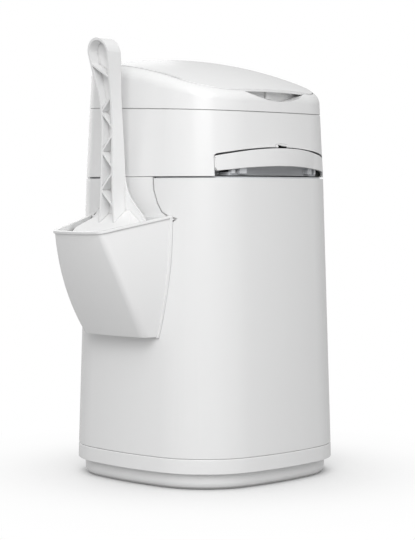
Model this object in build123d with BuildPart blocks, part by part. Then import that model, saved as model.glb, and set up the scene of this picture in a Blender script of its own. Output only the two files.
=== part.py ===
from build123d import *
from math import radians, sin, cos, tan, sqrt
import os

# Litter disposal pail. Millimetres, +Z up, origin on the pail's axis at the floor.
# The front, with the pull handle and the finger recess, faces -Y. The scoop and
# its holder hang on the -X side, and both hinges lie along X at the rear (+Y).

os.makedirs("parts", exist_ok=True)

# ---------------------------------------------------------------- plan outline
widest_half = 118.1          # half width of the rounded square at the base band
corner_radius = 75.6         # corner arcs at the widest place
side_radius = 362.6          # the gently bowed sides

# ---------------------------------------------------------------- heights
band_bottom = 16.5
band_top = 31.0
sleeve_top = 304.8
mid_gap = 1.8                # dark gap between the sleeve and the head
head_rise = 68.7             # the upper seam on the axis, over the head's lower edge
cover_tilt = 2.27            # degrees, the upper seam falls to the front
crown_rise = 55.9            # the lid's highest point over that seam

# ---------------------------------------------------------------- walls and drafts
foot_inset = 7.2
sleeve_inset = 0.3
rim_inset = 8.1              # set-in of the wall at the mid gap
head_draft = 2.8             # degrees
sleeve_wall = 2.4
head_wall = 2.6
pan_wall = 3.0
floor_thickness = 4.0
foot_round = 7.5
seam_chamfer = 0.7

# ---------------------------------------------------------------- clearances
seat_gap = 0.10              # between fixed pieces that seat on each other
slide_gap = 0.30             # between pieces that slide on each other
pivot_gap = 0.05             # radial, round a hinge pin
seal_gap = 0.30              # a soft face to what it closes on
lid_gap = 0.9                # visible seam round the lid

head_bottom = sleeve_top + mid_gap
cover_seam = head_bottom + head_rise
crown_height = cover_seam + crown_rise
side_reach = side_radius - widest_half
arc_link = side_radius - corner_radius
# the corner arcs' centres lie this far from the axis along X and Y
arc_centre = (sqrt(2 * arc_link**2 - side_reach**2) - side_reach) / 2
sleeve_slope = (rim_inset - sleeve_inset) / (sleeve_top - band_top)
head_slope = tan(radians(head_draft))


def sleeve_at(height):
    """Set-in of the sleeve's outer face at a height."""
    return sleeve_inset + (height - band_top) * sleeve_slope


def head_at(height):
    """Set-in of the head's outer face at a height."""
    return rim_inset + (height - head_bottom) * head_slope


def outline(inset, shift=0.0):
    """The pail's rounded square, set in from its widest place and moved along Y."""
    half = widest_half - inset
    corner = corner_radius - inset
    joint_x = arc_centre + corner * arc_centre / arc_link
    joint_y = arc_centre + corner * (arc_centre + side_reach) / arc_link
    nose = arc_centre + corner / sqrt(2)
    with BuildSketch(Plane.XY) as plan:
        with BuildLine():
            for turn in range(4):
                start, apex, end, tip, last = [
                    Vector(*point).rotate(Axis.Z, 90 * turn)
                    for point in (
                        (-joint_x, -joint_y),
                        (0, -half),
                        (joint_x, -joint_y),
                        (nose, -nose),
                        (joint_y, -joint_x),
                    )
                ]
                ThreePointArc(start, apex, end)
                ThreePointArc(end, tip, last)
        make_face()
    return plan.sketch.moved(Location((0, shift, 0)))


def drafted(low, low_inset, high, high_inset, shift=0.0):
    """A solid between two heights whose outline changes evenly."""
    with BuildPart() as block:
        with BuildSketch(Plane.XY.offset(low)):
            add(outline(low_inset, shift))
        with BuildSketch(Plane.XY.offset(high)):
            add(outline(high_inset, shift))
        loft(ruled=True)
    return block.part


def boxed(x_range, y_range, z_range):
    """A block given by its limits."""
    size = [high - low for low, high in (x_range, y_range, z_range)]
    centre = [(high + low) / 2 for low, high in (x_range, y_range, z_range)]
    with BuildPart(Plane(origin=centre)) as block:
        Box(*size)
    return block.part


def barrel(radius, x_low, x_high, y, z):
    """A round bar along X."""
    with BuildPart() as bar:
        with BuildSketch(Plane.YZ.offset(x_low)):
            with Locations((y, z)):
                Circle(radius)
        extrude(amount=x_high - x_low)
    return bar.part


# ================================================================ base
spigot_height = 12.0
spigot_wall = 2.6
pad_radius = 9.0
pad_thickness = 2.0
pad_chamfer = 0.4
pad_margin = 48.1            # from the widest place to the pads' centres
pad_place = widest_half - pad_margin
pan_inner = foot_inset + pan_wall

with BuildPart() as floor_pan:
    add(drafted(0, foot_inset, band_bottom, foot_inset))
    fillet(floor_pan.faces().sort_by(Axis.Z)[0].edges(), foot_round)
    add(drafted(band_bottom, 0, band_top, sleeve_inset))
    chamfer(floor_pan.faces().sort_by(Axis.Z)[-1].edges(), seam_chamfer)
    spigot_inset = sleeve_inset + sleeve_wall + seat_gap
    spigot_top = band_top + spigot_height
    spigot_top_inset = spigot_inset + spigot_height * sleeve_slope
    add(drafted(band_top - seam_chamfer, spigot_inset, spigot_top, spigot_top_inset))
    add(
        drafted(
            band_top, spigot_inset + spigot_wall, spigot_top, spigot_top_inset + spigot_wall
        ),
        mode=Mode.SUBTRACT,
    )
    add(
        drafted(floor_thickness, pan_inner, band_top, pan_inner),
        mode=Mode.SUBTRACT,
    )
    # the pads lie flush in round recesses
    with BuildSketch(Plane.XY):
        with GridLocations(2 * pad_place, 2 * pad_place, 2, 2):
            Circle(pad_radius + seat_gap)
    extrude(amount=pad_thickness, mode=Mode.SUBTRACT)
floor_pan.part.label = "floor_pan"
export_step(floor_pan.part, "parts/floor_pan.step")

with BuildPart() as rubber_feet:
    with BuildSketch(Plane.XY):
        with GridLocations(2 * pad_place, 2 * pad_place, 2, 2):
            Circle(pad_radius)
    extrude(amount=pad_thickness)
    chamfer(rubber_feet.edges().group_by(Axis.Z)[0], pad_chamfer)
rubber_feet.part.label = "rubber_feet"
export_step(rubber_feet.part, "parts/rubber_feet.step")

# Rear hinge that carries the head.
hinge_stand = 0.9            # the axis lies this far behind the widest place
hinge_rise = 6.4             # and this far over the head's lower edge
hinge_y = widest_half + hinge_stand
hinge_z = head_bottom + hinge_rise
knuckle_radius = 6.3
knuckle_half = 53.0          # half length over the outer knuckles
middle_half = 36.6           # half length of the head's own knuckle
knuckle_gap = 0.4
pin_radius = 2.5
pin_chamfer = 0.5
lug_drop = 26.0              # how far the lugs reach down the sleeve
root_depth = 12.0            # the lugs' and knuckles' root inside the wall

lug_inner = middle_half + knuckle_gap
wall_root = widest_half - rim_inset - root_depth
with BuildPart() as sleeve_lugs:
    for start in (lug_inner, -knuckle_half):
        with BuildSketch(Plane.YZ.offset(start)):
            with Locations((hinge_y, hinge_z)):
                Circle(knuckle_radius)
            with BuildLine():
                Polyline(
                    (wall_root, sleeve_top),
                    (wall_root, sleeve_top - lug_drop),
                    (widest_half - rim_inset, sleeve_top - lug_drop),
                    (hinge_y + knuckle_radius, hinge_z - knuckle_radius),
                    (hinge_y + knuckle_radius, hinge_z),
                    (hinge_y - knuckle_radius, hinge_z),
                    (hinge_y - knuckle_radius, sleeve_top),
                    close=True,
                )
            make_face()
        extrude(amount=knuckle_half - lug_inner)

# The holder's hanger: a plate let into the sleeve's face and hooked over its rim.
hanger_half = 34.5           # half width of the holder's hook at the rim
hook_reach = 2.0             # thickness of the hook's inner leg
hook_drop = 8.0
hook_rise = 1.3              # the hook's thickness over the rim

# Drop below the sleeve's rim and half width of the hanger's edge, down to the pocket.
hanger_edge = (
    (-hook_rise, hanger_half),
    (12.0, 35.7),
    (25.1, 40.8),
    (33.8, 46.5),
    (38.0, 54.0),
    (40.3, 62.0),
)
hanger_stations = [(sleeve_top - drop, half) for drop, half in hanger_edge]

rim_drop = 37.6              # the pocket's rim, where it meets the pail, below the sleeve's
hanger_sink = 24.0           # the plate runs down this far behind the pocket
plate_proud = 0.5            # the plate stands out of the sleeve's face
plate_recess = 1.4           # depth of the recess for it
plate_groove = 1.3           # open groove round it
rim_at_wall = sleeve_top - rim_drop
hanger_low = rim_at_wall - hanger_sink


def hanger_prism(margin=0.0):
    """The hanger's outline, widened by a margin, as a block through the wall."""
    with BuildPart() as block:
        with BuildSketch(Plane.YZ.offset(-widest_half - hanger_sink)):
            with BuildLine():
                edge = Polyline(*[(half, height) for height, half in hanger_stations])
                across = Polyline(
                    edge @ 1,
                    (hanger_half, hanger_low),
                    (-hanger_half, hanger_low),
                    (-hanger_stations[-1][1], hanger_stations[-1][0]),
                )
                Polyline(
                    across @ 1, *[(-half, height) for height, half in hanger_stations[-2::-1]]
                )
                Line((-hanger_stations[0][1], hanger_stations[0][0]), edge @ 0)
            make_face()
            if margin:
                offset(amount=margin, kind=Kind.INTERSECTION)
        extrude(amount=widest_half)
    return block.part


with BuildPart() as outer_sleeve:
    add(drafted(band_top, sleeve_inset, sleeve_top, rim_inset))
    chamfer(outer_sleeve.faces().sort_by(Axis.Z)[0].edges(), seam_chamfer)
    add(sleeve_lugs.part)
    add(
        drafted(band_top, sleeve_inset + sleeve_wall, sleeve_top, rim_inset + sleeve_wall),
        mode=Mode.SUBTRACT,
    )
    add(barrel(pin_radius, -knuckle_half, knuckle_half, hinge_y, hinge_z), mode=Mode.SUBTRACT)
    add(
        hanger_prism(plate_groove)
        - drafted(
            band_top, sleeve_inset + plate_recess,
            head_bottom, sleeve_at(head_bottom) + plate_recess,
        ),
        mode=Mode.SUBTRACT,
    )
outer_sleeve.part.label = "outer_sleeve"
export_step(outer_sleeve.part, "parts/outer_sleeve.step")

with BuildPart() as head_hinge_pin:
    add(barrel(pin_radius, -knuckle_half, knuckle_half, hinge_y, hinge_z))
    chamfer(head_hinge_pin.edges().filter_by(GeomType.CIRCLE), pin_chamfer)
head_hinge_pin.part.label = "head_hinge_pin"
export_step(head_hinge_pin.part, "parts/head_hinge_pin.step")

# Collar inside the sleeve's rim; its lip stands up into the gap under the head.
collar_depth = 20.0
collar_wall = 3.0
lip_rise = 1.4
lip_step = 1.1               # from the sleeve's inner face in to the lip
lip_inset = rim_inset + sleeve_wall + lip_step
collar_low = sleeve_top - collar_depth
hook_inner = rim_inset + sleeve_wall + hook_reach + 2 * seat_gap
with BuildPart() as rim_collar:
    add(
        drafted(
            collar_low, sleeve_at(collar_low) + sleeve_wall + seat_gap,
            sleeve_top, rim_inset + sleeve_wall + seat_gap,
        )
    )
    add(drafted(sleeve_top - lip_rise, lip_inset, sleeve_top + lip_rise, lip_inset))
    add(
        drafted(
            collar_low, sleeve_at(collar_low) + sleeve_wall + collar_wall,
            sleeve_top + lip_rise, rim_inset + sleeve_wall + collar_wall + hook_reach,
        ),
        mode=Mode.SUBTRACT,
    )
    hook_room = hanger_stations[1][1] + slide_gap
    add(
        boxed(
            (-widest_half, -widest_half / 2),
            (-hook_room, hook_room),
            (sleeve_top - hook_drop - slide_gap, sleeve_top + mid_gap),
        )
        - drafted(collar_low, hook_inner + seat_gap, head_bottom, hook_inner + seat_gap),
        mode=Mode.SUBTRACT,
    )
rim_collar.part.label = "rim_collar"
export_step(rim_collar.part, "parts/rim_collar.step")

# ================================================================ scoop holder
holder_wall = 2.2
holder_floor = 2.4
pocket_drop = 156.1          # the pocket's underside below the sleeve's rim
rim_fall = 0.21              # the rim falls this much for each millimetre outward
pocket_sink = 22.1           # the lofted sections start inside the pail's wall
pocket_corner = 9.0
bead_reach = 1.2             # the bead round the pocket's rim and its back
bead_height = 2.4
# Drop below the sleeve's rim, outermost reach beyond the pail's widest place, half
# width at the pail and half width at the outer corners.
pocket_form = (
    (pocket_drop, 14.1, 47.0, 45.5),
    (120.8, 34.2, 56.0, 46.6),
    (80.8, 52.3, 61.3, 41.4),
    (28.8, 69.5, 61.9, 28.0),
)
pocket_bottom = sleeve_top - pocket_drop
pocket_root = widest_half - pocket_sink
pocket_stations = [
    (sleeve_top - drop, widest_half + reach, width, outer_width)
    for drop, reach, width, outer_width in pocket_form
]
pocket_bow = 3.0             # the outer face bows out by this much


def pocket_body(wall, floor, slim=0.0):
    """The pocket's outer shape, or its hollow, as a smooth loft.

    Slim is taken off both sides everywhere below the uppermost section."""
    with BuildPart() as body:
        for height, reach, full_width, full_outer in pocket_stations:
            low = height + floor if height == pocket_bottom else height
            trim = 0 if reach == pocket_stations[-1][1] else slim
            width, outer_width = full_width - trim, full_outer - trim
            near = -pocket_root
            far = -(reach - wall)
            with BuildSketch(Plane.XY.offset(low)) as level:
                with BuildLine():
                    bow = ThreePointArc(
                        (far + pocket_bow, wall - outer_width),
                        (far, 0),
                        (far + pocket_bow, outer_width - wall),
                    )
                    Polyline(
                        bow @ 1, (near, width - wall), (near, wall - width), bow @ 0
                    )
                make_face()
                fillet(
                    level.vertices().sort_by(Axis.X)[:2], pocket_corner - wall
                )
        loft()
    return body.part


plate_gap = seat_gap / 2
with BuildPart() as hanger:
    top = sleeve_top + hook_rise
    add(
        drafted(
            pocket_bottom, sleeve_at(pocket_bottom) - plate_proud,
            top, sleeve_at(top) - plate_proud,
        )
    )
    sunk = plate_recess - plate_gap
    add(
        drafted(
            pocket_bottom, sleeve_at(pocket_bottom) + sunk,
            sleeve_top + plate_gap, sleeve_at(sleeve_top) + sunk,
        ),
        mode=Mode.SUBTRACT,
    )
    leg = rim_inset + sleeve_wall + seat_gap
    add(
        drafted(sleeve_top - hook_drop, leg, top, leg)
        - drafted(sleeve_top - hook_drop, leg + hook_reach, top, leg + hook_reach)
    )
    add(
        drafted(sleeve_top - hook_drop, leg + hook_reach, top, leg + hook_reach),
        mode=Mode.SUBTRACT,
    )
    add(hanger_prism(), mode=Mode.INTERSECT)

keep_out_top = rim_at_wall + hanger_sink
rim_plane = Plane(
    origin=(-(widest_half - rim_inset), 0, rim_at_wall), z_dir=(-rim_fall, 0, 1)
)
widened = pocket_body(-bead_reach, -bead_reach)
with BuildPart() as scoop_holder:
    add(pocket_body(0, 0))
    add(widened.split(rim_plane.offset(-bead_height), keep=Keep.TOP))
    add(pocket_body(holder_wall, holder_floor), mode=Mode.SUBTRACT)
    # back wall of the pocket, against the sleeve
    back_low = pocket_bottom - bead_reach
    add(
        widened
        & drafted(
            back_low, sleeve_at(back_low) - plate_gap - holder_wall,
            keep_out_top, sleeve_at(keep_out_top) - plate_gap - holder_wall,
        )
    )
    add(
        drafted(
            band_top, sleeve_at(band_top) - plate_gap,
            keep_out_top, sleeve_at(keep_out_top) - plate_gap,
        ),
        mode=Mode.SUBTRACT,
    )
    split(bisect_by=rim_plane, keep=Keep.BOTTOM)
    add(hanger.part)
scoop_holder.part.label = "scoop_holder"
export_step(scoop_holder.part, "parts/scoop_holder.step")
print("base and holder built")

# ================================================================ crown of the head
# Cover and lid share one domed surface with a rounded shoulder. The dome is given in
# shares of the pail's widest half width.
back_share = 0.457           # the highest point lies this far behind the axis
length_share = 2.811         # radius along Y
width_share = 3.92           # radius across X
shoulder = 13.0
lid_margin = 21.8            # from the widest place in to the lid's edge
lid_shift = -4.2
lid_step = 0.6               # the lid stands this much above the cover
dome_back = back_share * widest_half
dome_length = length_share * widest_half
dome_width = width_share * widest_half
lid_half = widest_half - lid_margin
crown_low = cover_seam - 2 * shoulder
crown_high = crown_height + shoulder


def dome_at(y):
    """Height of the cover's dome on the centre line."""
    return crown_height - lid_step - dome_length + sqrt(dome_length**2 - (y - dome_back) ** 2)


def crown(wall=0.0, depth=0.0):
    """The head's upper body, set in by a wall and with its dome lowered."""
    middle = crown_height - lid_step - depth
    with BuildPart() as body:
        add(drafted(crown_low, head_at(crown_low) + wall, crown_high, head_at(crown_high) + wall))
        with BuildPart(mode=Mode.INTERSECT):
            with BuildSketch(Plane.YZ):
                with BuildLine():
                    front, rear = -widest_half - shoulder, widest_half + shoulder
                    rise = [dome_at(y) - depth for y in (front, rear)]
                    arc = ThreePointArc((front, rise[0]), (dome_back, middle), (rear, rise[1]))
                    Polyline(arc @ 1, (rear, middle - dome_width),
                             (front, middle - dome_width), arc @ 0)
                make_face()
            revolve(axis=Axis((0, 0, middle - dome_width), (0, 1, 0)))
        top_face = body.faces().sort_by(Axis.Z)[-1]
        fillet(top_face.edges(), shoulder - wall)
    return body.part


def lid_prism(inset):
    """A straight prism on the lid's outline."""
    plan = lid_margin + inset
    return drafted(crown_low, plan, crown_high + shoulder, plan, lid_shift)


lowered = lambda body, drop: body.moved(Location((0, 0, -drop)))
outer_crown = crown()

# ================================================================ head housing
seam_plane = Plane(
    origin=(0, 0, cover_seam), z_dir=(0, -sin(radians(cover_tilt)), cos(radians(cover_tilt)))
)
seam_reach = 12.0            # more than the tilted seam rises towards the rear
housing_top = cover_seam + seam_reach
ledge_width = 6.0
ledge_thickness = 3.0
chassis_rise = 12.4          # underside of the cassette chassis over the head's edge
deck_rise = 41.0             # underside of the deck round the cassette over that
chassis_z = head_bottom + chassis_rise
deck_z = chassis_z + deck_rise
handle_half = 80.0           # half width of the pull handle
handle_gap = 0.7
# The band's edges on the centre line and at its ends, over the head's lower edge.
top_rise = 28.1
top_end_rise = 19.9
low_rise = 10.2
low_end_rise = 5.0
handle_top = head_bottom + top_rise
handle_top_end = head_bottom + top_end_rise
handle_low = head_bottom + low_rise
handle_low_end = head_bottom + low_end_rise
handle_bulge = 5.0           # how far the band stands out at its middle
handle_thickness = 3.6
notch_rise = 1.3             # dark gap above the band
notch_round = 4.0
button_half = 8.5
button_height = 3.8
button_drop = 0.7            # from the band's upper edge up to the button
button_low = handle_top + button_drop
button_top = button_low + button_height
locator_height = 4.0
locator_wall = 2.0
groove_height = 0.8          # open groove under the upper seam
groove_cut = 1.2

head_inner = drafted(
    head_bottom, rim_inset + head_wall, housing_top, head_at(housing_top) + head_wall
)


def ledge(height, thickness, width):
    """A ring on the inside of the head's wall."""
    inset = head_at(height) + head_wall - seat_gap
    return drafted(height, inset, height + thickness, inset) - drafted(
        height, inset + width, height + thickness, inset + width
    )


with BuildPart() as head_knuckle:
    half = middle_half
    with BuildSketch(Plane.YZ.offset(-half)):
        with Locations((hinge_y, hinge_z)):
            Circle(knuckle_radius)
        with BuildLine():
            Polyline(
                (wall_root, head_bottom), (hinge_y, hinge_z - knuckle_radius),
                (hinge_y, hinge_z + knuckle_radius),
                (wall_root, hinge_z + 2 * knuckle_radius), close=True,
            )
        make_face()
    extrude(amount=2 * half)

notch_top = handle_top + notch_rise
notch_end = handle_top_end + notch_rise + handle_gap
with BuildPart() as notch:
    side = handle_half + handle_gap
    with BuildSketch(Plane.XZ.offset(widest_half / 2)) as notch_face:
        with BuildLine():
            roof = ThreePointArc((-side, notch_end), (0, notch_top), (side, notch_end))
            Polyline(roof @ 1, (side, head_bottom - mid_gap),
                     (-side, head_bottom - mid_gap), roof @ 0)
        make_face()
        fillet(notch_face.vertices().group_by(Axis.Y)[-1], notch_round)
        with BuildLine():
            half = button_half + slide_gap
            bay = ThreePointArc(
                (-half, button_top - slide_gap), (0, button_top + slide_gap),
                (half, button_top - slide_gap),
            )
            Polyline(bay @ 1, (half, notch_end), (-half, notch_end), bay @ 0)
        make_face()
    extrude(amount=widest_half)

screw_margin = 44.1          # from the widest place in to the screws
screw_place = widest_half - screw_margin
screw_radius = 2.0
screw_head_radius = 3.6
screw_head = 2.4
screw_length = 12.0
rail_margin = 53.5           # from the widest place in to a drawer rail's inner face
rail_setback = 34.1          # from the widest place in to the rails' ends
rail_width = 10.0
rail_inner = widest_half - rail_margin
rail_rear = widest_half - rail_setback
rail_front = -rail_rear

with BuildPart() as head_housing:
    add(drafted(head_bottom, rim_inset, housing_top, head_at(housing_top)))
    add(head_knuckle.part)
    add(head_inner, mode=Mode.SUBTRACT)
    split(bisect_by=seam_plane, keep=Keep.BOTTOM)
    add(ledge(chassis_z - ledge_thickness, ledge_thickness, ledge_width))
    add(ledge(deck_z - ledge_thickness, ledge_thickness, ledge_width))
    locator_low = cover_seam - 2 * locator_height
    locator_high = cover_seam + 2 * locator_height
    locator = drafted(
        locator_low, head_at(locator_low) + head_wall - seat_gap,
        locator_high, head_at(locator_high) + head_wall - seat_gap,
    ) - drafted(
        locator_low, head_at(locator_low) + head_wall + locator_wall,
        locator_high, head_at(locator_high) + head_wall + locator_wall,
    )
    spigot = locator.split(seam_plane.offset(locator_height), keep=Keep.BOTTOM) & drafted(
        locator_low, head_at(locator_low) + head_wall + seat_gap,
        locator_high, head_at(locator_high) + head_wall + seat_gap,
    )
    add(locator.split(seam_plane, keep=Keep.BOTTOM))
    add(spigot)
    groove_low = cover_seam - seam_reach
    rim_ring = drafted(
        groove_low, head_at(groove_low) - seam_chamfer,
        housing_top, head_at(housing_top) - seam_chamfer,
    ) - drafted(
        groove_low, head_at(groove_low) + groove_cut,
        housing_top, head_at(housing_top) + groove_cut,
    )
    add(rim_ring.split(seam_plane.offset(-groove_height), keep=Keep.TOP), mode=Mode.SUBTRACT)
    add(notch.part, mode=Mode.SUBTRACT)
    bore = pin_radius + pivot_gap
    add(barrel(bore, -middle_half, middle_half, hinge_y, hinge_z), mode=Mode.SUBTRACT)
head_housing.part.label = "head_housing"
export_step(head_housing.part, "parts/head_housing.step")

# ================================================================ top cover
lid_thickness = 2.4
rebate_depth = lid_thickness           # the lid lies in the cover's rebate
rebate_width = 14.0
cover_floor = 2.4
mouth_flange = 8.0
mouth_wall = 2.0
lid_axis_reach = 4.0         # the hinge axis lies behind the lid's edge
lid_axis_depth = 0.316       # and below the cover's dome
lid_axis_y = lid_half + lid_shift + lid_axis_reach
lid_axis_z = dome_at(lid_axis_y) - lid_axis_depth
lid_barrel = 3.6
lid_knuckle_half = 25.0
lid_ear = 8.5                # the pin's hold in the cover at each end
lid_pin_radius = 1.5
notch_reach = lid_barrel + lid_gap
recess_radius = 110.0
recess_depth = 16.86         # lowest line of the finger recess below the dome
lip_reach = 12.0             # how far the lid's front lip stands out over it
recess_wall = 2.4
recess_rear = lid_half - lid_shift - lip_reach
recess_floor = dome_at(-recess_rear) - recess_depth

ring_depth = rebate_depth + cover_floor
inner_crown = crown(head_wall, ring_depth)
mouth = lid_prism(rebate_width)
rebate_tool = lid_prism(0) - lowered(outer_crown, rebate_depth)
flange_tool = (
    (lid_prism(rebate_width - mouth_wall) - mouth)
    & lowered(outer_crown, rebate_depth)
) - lowered(outer_crown, ring_depth + mouth_flange)


def recess(radius, rear):
    """The scooped trough under the lid's front lip."""
    with BuildPart() as trough:
        with BuildSketch(Plane.XZ.offset(rear)):
            with Locations((0, recess_floor + recess_radius)):
                Circle(radius)
        extrude(amount=widest_half)
    return trough.part


ear_span = lid_knuckle_half + lid_ear
with BuildPart() as top_cover:
    add(outer_crown)
    add(inner_crown, mode=Mode.SUBTRACT)
    add(
        recess(recess_radius + recess_wall, recess_rear - recess_wall) & outer_crown
    )
    add(rebate_tool, mode=Mode.SUBTRACT)
    add(mouth, mode=Mode.SUBTRACT)
    add(flange_tool)
    add(recess(recess_radius, recess_rear), mode=Mode.SUBTRACT)
    hinge_block = boxed(
        (-ear_span, ear_span),
        (lid_half + lid_shift + lid_gap, lid_axis_y + 2 * lid_barrel),
        (lid_axis_z - 3 * lid_barrel, lid_axis_z + 3 * lid_barrel),
    )
    add(hinge_block & outer_crown)
    add(barrel(lid_barrel, -ear_span, ear_span, lid_axis_y, lid_axis_z))
    bay_half = lid_knuckle_half + slide_gap
    add(barrel(notch_reach, -bay_half, bay_half, lid_axis_y, lid_axis_z), mode=Mode.SUBTRACT)
    add(
        boxed(
            (-bay_half, bay_half),
            (lid_axis_y - 3 * lid_barrel, lid_axis_y),
            (lid_axis_z - notch_reach / 2, lid_axis_z + 3 * lid_barrel),
        ),
        mode=Mode.SUBTRACT,
    )
    add(barrel(lid_pin_radius, -ear_span, ear_span, lid_axis_y, lid_axis_z), mode=Mode.SUBTRACT)
    split(bisect_by=seam_plane, keep=Keep.TOP)
top_cover.part.label = "top_cover"
export_step(top_cover.part, "parts/top_cover.step")

with BuildPart() as lid_hinge_pin:
    add(barrel(lid_pin_radius, -ear_span, ear_span, lid_axis_y, lid_axis_z))
lid_hinge_pin.part.label = "lid_hinge_pin"
export_step(lid_hinge_pin.part, "parts/lid_hinge_pin.step")

# ================================================================ lid
skirt_gap = 2.2
skirt_wall = 2.0
skirt_depth = 9.0
liner_depth = 6.0
liner_wall = 1.6
seal_depth = 2.5
catch_half = 3.6
catch_clear = 2.9            # its foot over the floor of the recess
catch_thickness = 2.6
catch_low = recess_floor + catch_clear

skirt_outer = rebate_width + skirt_gap
skirt_inner = skirt_outer + skirt_wall
lid_crown = lowered(outer_crown, -lid_step)
under_lid = lowered(lid_crown, lid_thickness)
with BuildPart() as lid_shell:
    add((lid_prism(lid_gap) & lid_crown) - under_lid)
    add(
        ((lid_prism(skirt_outer) - lid_prism(skirt_inner)) & lowered(outer_crown, lid_thickness / 2))
        - lowered(outer_crown, skirt_depth)
    )
    web = boxed(
        (-lid_knuckle_half, lid_knuckle_half),
        (lid_axis_y - 2 * lid_barrel, lid_axis_y),
        (lid_axis_z - lid_thickness / 2, lid_axis_z + lid_thickness / 2),
    )
    add(web)
    add(barrel(lid_barrel, -lid_knuckle_half, lid_knuckle_half, lid_axis_y, lid_axis_z))
    bore = lid_pin_radius + pivot_gap
    add(
        barrel(bore, -lid_knuckle_half, lid_knuckle_half, lid_axis_y, lid_axis_z),
        mode=Mode.SUBTRACT,
    )
lid_shell.part.label = "lid_shell"
export_step(lid_shell.part, "parts/lid_shell.step")

with BuildPart() as lid_liner:
    add(
        (lid_prism(skirt_inner + seat_gap) & lowered(outer_crown, liner_depth))
        - lowered(outer_crown, liner_depth + liner_wall)
    )
lid_liner.part.label = "lid_liner"
export_step(lid_liner.part, "parts/lid_liner.step")

# Soft ring under the skirt.
with BuildPart() as lid_seal:
    add(
        ((lid_prism(skirt_outer) - lid_prism(skirt_inner)) & lowered(outer_crown, skirt_depth))
        - lowered(outer_crown, skirt_depth + seal_depth)
    )
lid_seal.part.label = "lid_seal"
export_step(lid_seal.part, "parts/lid_seal.step")

# Small snap tongue behind the lid's front lip.
with BuildPart() as lid_catch:
    catch_rear = recess_rear + slide_gap
    add(
        boxed(
            (-catch_half, catch_half),
            (-(catch_rear + catch_thickness), -catch_rear),
            (catch_low, crown_height),
        )
        & under_lid
    )
lid_catch.part.label = "lid_catch"
export_step(lid_catch.part, "parts/lid_catch.step")
print("crown, cover and lid built")

# ================================================================ cassette chassis
chassis_thickness = 3.0
bore_margin = 56.1           # from the widest place in to the way down for the bag
cassette_margin = 30.1       # and in to the cassette
film_bore = widest_half - bore_margin
cassette_radius = widest_half - cassette_margin
cassette_height = 44.0
cassette_wall = 2.0
cassette_lip = 3.0
deck_thickness = 2.4
fit_gap = 0.5                # round the cassette in its deck
plate_low = head_bottom + 2 * slide_gap    # underside of the drawer and the fixed jaw
plate_thickness = 3.8
groove_depth = 3.8
tongue_height = 2.2
tongue_reach = 3.4
jaw_line = -1.0              # the jaws meet on this line
jaw_gap = 0.6
rail_floor = 0.5             # the rails end this far above the head's lower edge

chassis_inset = head_at(chassis_z) + head_wall + seat_gap
screw_spots = [(x, y) for x in (-screw_place, screw_place) for y in (-screw_place, screw_place)]

with BuildPart() as cassette_chassis:
    add(drafted(chassis_z, chassis_inset, chassis_z + chassis_thickness,
                chassis_inset + chassis_thickness * head_slope))
    with BuildSketch(Plane.XY.offset(chassis_z)):
        Circle(film_bore)
    extrude(amount=chassis_thickness, mode=Mode.SUBTRACT)
    # clear of the front notch, where the pull handle's band rests
    with BuildSketch(Plane.XY.offset(chassis_z)):
        with Locations((0, -widest_half)):
            Rectangle(2 * (handle_half + handle_gap), 2 * (widest_half + rail_front - rail_floor))
    extrude(amount=chassis_thickness, mode=Mode.SUBTRACT)
    with BuildSketch(Plane.XY.offset(chassis_z)):
        with Locations(*screw_spots):
            Circle(screw_radius)
    extrude(amount=chassis_thickness, mode=Mode.SUBTRACT)
cassette_chassis.part.label = "cassette_chassis"
export_step(cassette_chassis.part, "parts/cassette_chassis.step")

boss_radius = 4.6
with BuildPart() as chassis_screws:
    with BuildSketch(Plane.XY.offset(chassis_z + chassis_thickness)):
        with Locations(*screw_spots):
            Circle(screw_head_radius)
    extrude(amount=screw_head)
    with BuildSketch(Plane.XY.offset(chassis_z + chassis_thickness)):
        with Locations(*screw_spots):
            Circle(screw_radius)
    extrude(amount=-(chassis_thickness + screw_length / 2))
    with BuildSketch(Plane.XY.offset(chassis_z + chassis_thickness + screw_head)):
        with Locations(*screw_spots):
            RegularPolygon(screw_radius, 6)
    extrude(amount=-screw_head / 2, mode=Mode.SUBTRACT)
chassis_screws.part.label = "chassis_screws"
export_step(chassis_screws.part, "parts/chassis_screws.step")

# Rails under the chassis; each has a groove for the drawer's tongue and a boss
# under the screws.
rail_low = head_bottom + rail_floor
tongue_low = plate_low + (plate_thickness - tongue_height) / 2
for name, side in (("left_rail", -1), ("right_rail", 1)):
    with BuildPart() as rail:
        add(
            boxed(
                tuple(sorted((side * rail_inner, side * (rail_inner + rail_width)))),
                (rail_front, rail_rear),
                (rail_low, chassis_z),
            )
        )
        with BuildSketch(Plane.XY.offset(rail_low)):
            with Locations((side * screw_place, -screw_place), (side * screw_place, screw_place)):
                Circle(boss_radius)
        extrude(amount=chassis_z - rail_low)
        groove_wall = rail_inner + groove_depth
        add(
            boxed(
                tuple(sorted((side * (rail_inner - groove_depth), side * groove_wall))),
                (rail_front, rail_rear),
                (tongue_low - slide_gap, tongue_low + tongue_height + slide_gap),
            ),
            mode=Mode.SUBTRACT,
        )
        with BuildSketch(Plane.XY.offset(chassis_z)):
            with Locations((side * screw_place, -screw_place), (side * screw_place, screw_place)):
                Circle(screw_radius)
        extrude(amount=-screw_length / 2, mode=Mode.SUBTRACT)
    rail.part.label = name
    export_step(rail.part, "parts/" + name + ".step")

deck_inset = head_at(deck_z) + head_wall + seat_gap
with BuildPart() as cassette_deck:
    add(drafted(deck_z, deck_inset, deck_z + deck_thickness,
                deck_inset + deck_thickness * head_slope))
    with BuildSketch(Plane.XY.offset(deck_z)):
        Circle(cassette_radius + fit_gap)
    extrude(amount=deck_thickness, mode=Mode.SUBTRACT)
cassette_deck.part.label = "cassette_deck"
export_step(cassette_deck.part, "parts/cassette_deck.step")

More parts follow.
